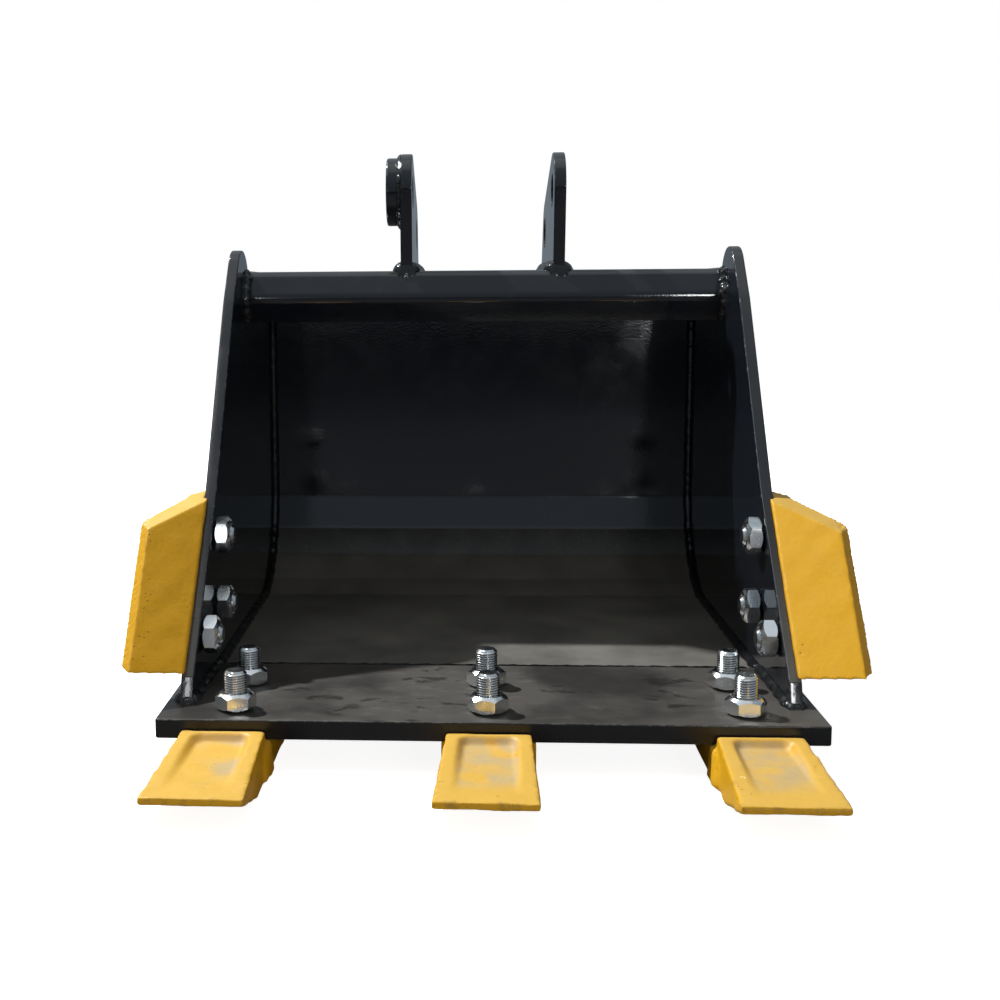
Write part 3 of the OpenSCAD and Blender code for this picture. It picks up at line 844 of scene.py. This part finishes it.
def bead(path, a, b, leg, seed, pitch=3.4, ripple=0.38, swell=0.65, points=8, step=0.7, lump=0.1):
    """Rippled fillet bead along path, in the corner between directions a and b."""
    path = np.asarray(path, float)
    a = np.broadcast_to(np.asarray(a, float), path.shape)
    b = np.broadcast_to(np.asarray(b, float), path.shape)
    run = np.concatenate([[0], np.cumsum(np.linalg.norm(np.diff(path, axis=0), axis=1))])
    s = np.linspace(0, run[-1], max(8, int(run[-1] / step)))

    def along(values):
        return np.stack([np.interp(s, run, values[:, k]) for k in range(3)], 1)

    def unit(values):
        return values / np.linalg.norm(values, axis=1, keepdims=True)

    p, a, b = along(path), unit(along(a)), unit(along(b))
    near_end = np.clip(np.minimum(s, run[-1] - s) / leg, 0, 1)
    size = leg * (0.12 + 0.88 * np.sqrt(1 - (1 - near_end) ** 2))
    leg_a = size * (1 + lump * wobble(s, 14, seed))
    leg_b = size * (1 + lump * wobble(s, 11, seed + 1))
    phi = np.linspace(0, math.pi / 2, points)
    c, q = np.cos(phi)[None, :], np.sin(phi)[None, :]
    chord = 1 / (c / leg_a[:, None] + q / leg_b[:, None])
    full = np.sqrt((leg_a[:, None] * c) ** 2 + (leg_b[:, None] * q) ** 2)
    middle = np.sin(2 * phi)[None, :]
    beat = (s[:, None] + 0.5 * leg * middle) / pitch + 0.18 * wobble(s, 9, seed + 2)[:, None]
    scallop = 1 - (2 * (beat % 1) - 1) ** 2
    radius = chord + swell * (full - chord)
    radius += ripple * (scallop - 0.6) * middle ** 0.5 * (size / leg)[:, None]
    skin = p[:, None, :] + radius[:, :, None] * (a[:, None, :] * c[:, :, None]
                                                + b[:, None, :] * q[:, :, None])
    sunk = p - 0.25 * (a + b)
    rings = [np.vstack([skin[i], sunk[i]]) for i in range(len(s))]
    shape = Shape()
    shape.rings(rings)
    return shape


def weld_piece(node, beads):
    s = gathered(beads)
    piece("bead_" + node[5:], s.verts, s.faces, WELD, [node], sharp=70,
          weighted=False)


def yz_path(x, points):
    return np.array([(x, p[0], p[1]) for p in points], float)


def yz_normals(points, flip=1.0):
    """Normal of an open Y-Z path at each point, to its left."""
    points = np.asarray(points, float)
    seg = left_normals(points[:-1], points[1:])
    both = np.vstack([seg[:1], seg]) + np.vstack([seg, seg[-1:]])
    both /= np.linalg.norm(both, axis=1, keepdims=True)
    return np.array([(0, flip * u, flip * v) for u, v in both])


X, Y, Z = np.eye(3)
LEG, EAR_LEG = 5.0, 7.0                 # legs of an ordinary bead and of one at the ears

seam_x = INNER - 6
seam = bead([(-seam_x, EDGE_D, FLOOR_Z), (seam_x, EDGE_D, FLOOR_Z)], Y, Z, 4.5, 5, pitch=4.0,
            ripple=0.25, swell=0.1)
v = np.array(seam.verts)
v[:, 1] -= 1.5
v[:, 2] = np.where(v[:, 2] > FLOOR_Z, FLOOR_Z + (v[:, 2] - FLOOR_Z) * 0.68, v[:, 2])
seam.verts = v.tolist()
weld_piece("weld_edge_top", [seam])
weld_piece("weld_edge_under", [bead([(-INNER + 1, EDGE_D, -8), (INNER - 1, EDGE_D, -8)],
                                    Y, -Z, 4.4, 9)])

for side in (LEFT, RIGHT):
    tag = SIDE_NAME[side]
    seed = 100 + 20 * side
    inside = bent(np.vstack([sheet_path[:-1], [[WALL_Y, ROOF_Z - ROOF_T - LEG]]]), BEND_R)
    weld_piece("weld_shell_inside_" + tag,
               [bead(yz_path(side * INNER, inside), -side * X, yz_normals(inside), 3.9, seed,
                     pitch=3.0, ripple=0.3)])
    outside = bent(np.vstack([[[EDGE_D + 8, FLOOR_Z - SHEET_T]],
                              offset_open(sheet_path, -SHEET_T)[1:]]), BEND_R + SHEET_T)
    weld_piece("weld_shell_outside_" + tag,
               [bead(yz_path(side * INNER, outside), -side * X, yz_normals(outside, -1.0),
                     LEG - 0.4, seed + 3)])
    inner_x, outer_x = side * INNER, side * BODY_HALF
    weld_piece("weld_foot_" + tag, [
        bead([(inner_x, EDGE_D - 4, 0), (inner_x, 34, 0)], -side * X, Z, 3.8, seed + 6, pitch=3.4,
             ripple=0.15, lump=0.12),
        bead([(outer_x, EDGE_D - 2, 0), (outer_x, 35, 0)], side * X, Z, 4.6, seed + 7, pitch=3.6,
             ripple=0.4, lump=0.2),
        bead([(inner_x - side * 2, 33.2, 0), (outer_x, 33.2, 0)], -Y, Z, 3.4, seed + 8, pitch=3.2,
             ripple=0.25, lump=0.2)])
    roof = bent(np.vstack([roof_path[:0:-1], [[ROOF_FRONT + 1.5, ROOF_Z]]]), ROOF_BEND_R)[:-1]
    weld_piece("weld_beam_" + tag,
               [bead(yz_path(side * INNER, roof), -side * X, yz_normals(roof), 4.2, seed + 9,
                     pitch=5.2, ripple=0.9, swell=0.9, lump=0.25)])
    low, high = side * EAR_IN, side * EAR_OUT
    front = ROOF_FRONT
    down_lip = np.array([0, -12, -20.5]) / math.hypot(12, 20.5)
    beads = [bead([(low - side * 3, front - 0.5, ROOF_Z - 0.8),
                   (high + side * 3, front - 0.5, ROOF_Z - 0.8)], down_lip, Z, 4.8, seed + 11,
                  pitch=4.2, ripple=0.8, swell=0.9, lump=0.25)]
    for k, (x, out) in enumerate(((low, -side * X), (high, side * X))):
        beads.append(bead([(x, BACK_Y - 4, ROOF_Z), (x, front + 0.5, ROOF_Z)], out, Z,
                          EAR_LEG - 0.4, seed + 12 + 5 * k, pitch=4.2, ripple=0.5, lump=0.2))
        beads.append(bead([(x, BACK_Y, LEG_LOW + 2), (x, BACK_Y, ROOF_Z - 5)], out, Y,
                          EAR_LEG - 1.5, seed + 14 + k, pitch=4.4, ripple=0.5))
    weld_piece("weld_ear_" + tag, beads)

turns = np.radians(np.linspace(0, 360, 73))
boss_ring = [(-EAR_OUT, PIN[1] + BOSS_R * math.cos(t), PIN[2] + BOSS_R * math.sin(t))
             for t in turns]
boss_out = [np.array([0, math.cos(t), math.sin(t)]) for t in turns]
weld_piece("weld_boss_left", [bead(boss_ring, -X, boss_out, 3.0, 31, pitch=3.6, ripple=0.4,
                                   lump=0.18)])


# --- stage ---------------------------------------------------------------------

FLOOR = cad_box[0][2]
# Strength of the world's diffuse light, and of its reflection low down and overhead.
FILL, SKY_LOW, SKY_HIGH = 0.125, 0.27, 0.42


def area_light(name, at, aim, size, size_y, watts):
    data = bpy.data.lights.new(name, "AREA")
    data.shape = "RECTANGLE"
    data.size, data.size_y = size, size_y
    data.energy = watts
    obj = bpy.data.objects.new(name, data)
    bpy.context.scene.collection.objects.link(obj)
    obj.location = at
    obj.rotation_euler = (Vector(aim) - Vector(at)).to_track_quat("-Z", "Y").to_euler()


def pale_floor():
    mesh = bpy.data.meshes.new("floor")
    r, n = 14.0, 64
    mesh.from_pydata([(r * math.cos(2 * math.pi * i / n), r * math.sin(2 * math.pi * i / n), FLOOR)
                      for i in range(n)], [], [list(range(n))])
    obj = bpy.data.objects.new("floor", mesh)
    bpy.context.scene.collection.objects.link(obj)
    # The floor glows an even white for the camera. In reflections it is a painted darker grey floor,
    # and it is mid grey for the light it throws back.
    t = Tree("pale_floor")
    path = t.tree.nodes.new("ShaderNodeLightPath")
    seen = path.outputs["Is Camera Ray"]
    shade = t.mix(path.outputs["Is Glossy Ray"], (0.34, 0.33, 0.31), (0.15, 0.16, 0.18))
    shade = t.mix(seen, shade, (0.9, 0.9, 0.9))
    t.put(t.shader.inputs["Emission Color"], (1.0, 1.0, 1.0))
    t.put(t.shader.inputs["Emission Strength"], t.mul(seen, 0.9))
    t.finish(shade, 0.8, t.bump(t.noise(300.0), 0.0001), Specular_IOR_Level=0.1)
    mesh.materials.append(t.mat)


def studio_world():
    """White to the eye; a soft sky for the light; brighter overhead in reflections."""
    world = bpy.data.worlds.new("studio")
    bpy.context.scene.world = world
    world.use_nodes = True
    tree = world.node_tree
    tree.nodes.clear()

    def background(color, strength):
        n = tree.nodes.new("ShaderNodeBackground")
        n.inputs[0].default_value = (*color, 1)
        n.inputs[1].default_value = strength
        return n

    def blend(factor, a, b):
        n = tree.nodes.new("ShaderNodeMixShader")
        tree.links.new(factor, n.inputs[0])
        tree.links.new(a.outputs[0], n.inputs[1])
        tree.links.new(b.outputs[0], n.inputs[2])
        return n

    direction = tree.nodes.new("ShaderNodeTexCoord").outputs["Generated"]
    height = tree.nodes.new("ShaderNodeSeparateXYZ")
    tree.links.new(direction, height.inputs[0])
    sky = tree.nodes.new("ShaderNodeMapRange")
    tree.links.new(height.outputs[2], sky.inputs[0])
    for k, value in enumerate((0.05, 0.75, SKY_LOW, SKY_HIGH), 1):
        sky.inputs[k].default_value = value
    mirrored = background((0.74, 0.87, 1.0), 1.0)
    tree.links.new(sky.outputs[0], mirrored.inputs[1])
    path = tree.nodes.new("ShaderNodeLightPath")
    light = blend(path.outputs["Is Glossy Ray"], background((1.0, 0.94, 0.87), FILL), mirrored)
    final = blend(path.outputs["Is Camera Ray"], light, background((1, 1, 1), 1.0))
    out = tree.nodes.new("ShaderNodeOutputWorld")
    tree.links.new(final.outputs[0], out.inputs[0])


def camera():
    """Stands in front of the mouth, a little left of the middle, looking slightly down."""
    yaw, pitch, roll = (math.radians(a) for a in (-3.35, -7.31, -0.41))
    d = Vector((math.sin(yaw) * math.cos(pitch), math.cos(yaw) * math.cos(pitch), math.sin(pitch)))
    r0 = Vector((math.cos(yaw), -math.sin(yaw), 0))
    u0 = r0.cross(d)
    r = r0 * math.cos(roll) + u0 * math.sin(roll)
    u = -r0 * math.sin(roll) + u0 * math.cos(roll)
    data = bpy.data.cameras.new("camera")
    data.sensor_width = 36.0
    data.lens = 48.53
    data.shift_x, data.shift_y = 0.1163, -0.0347
    data.clip_end = 60
    obj = bpy.data.objects.new("camera", data)
    bpy.context.scene.collection.objects.link(obj)
    m = Matrix((r, u, -d)).transposed().to_4x4()
    m.translation = Vector(to_metres((-15.73, -769.51, 251.62)))
    obj.matrix_world = m
    bpy.context.scene.camera = obj


camera()
pale_floor()
studio_world()
MOUTH = (0.0, -0.15, -0.25)
area_light("key_behind_left", (-1.31, 0.56, 1.67), MOUTH, 0.07, 0.07, 78)
area_light("front_left", (-0.99, -0.85, 1.8), MOUTH, 0.5, 0.5, 2.4)
area_light("top", (0.0, -0.1, 1.9), (0.0, -0.2, -0.3), 2.0, 1.4, 3)
area_light("strip_front_right", (0.50, -1.9, 0.09), (0.1, 0.1, -0.1), 0.09, 0.46, 3.4)
area_light("strip_front_left", (-0.5, -1.8, 0.1), (-0.1, 0.0, -0.1), 0.07, 0.4, 0.8)

scene = bpy.context.scene
scene.view_settings.view_transform = "Standard"
scene.view_settings.look = "None"
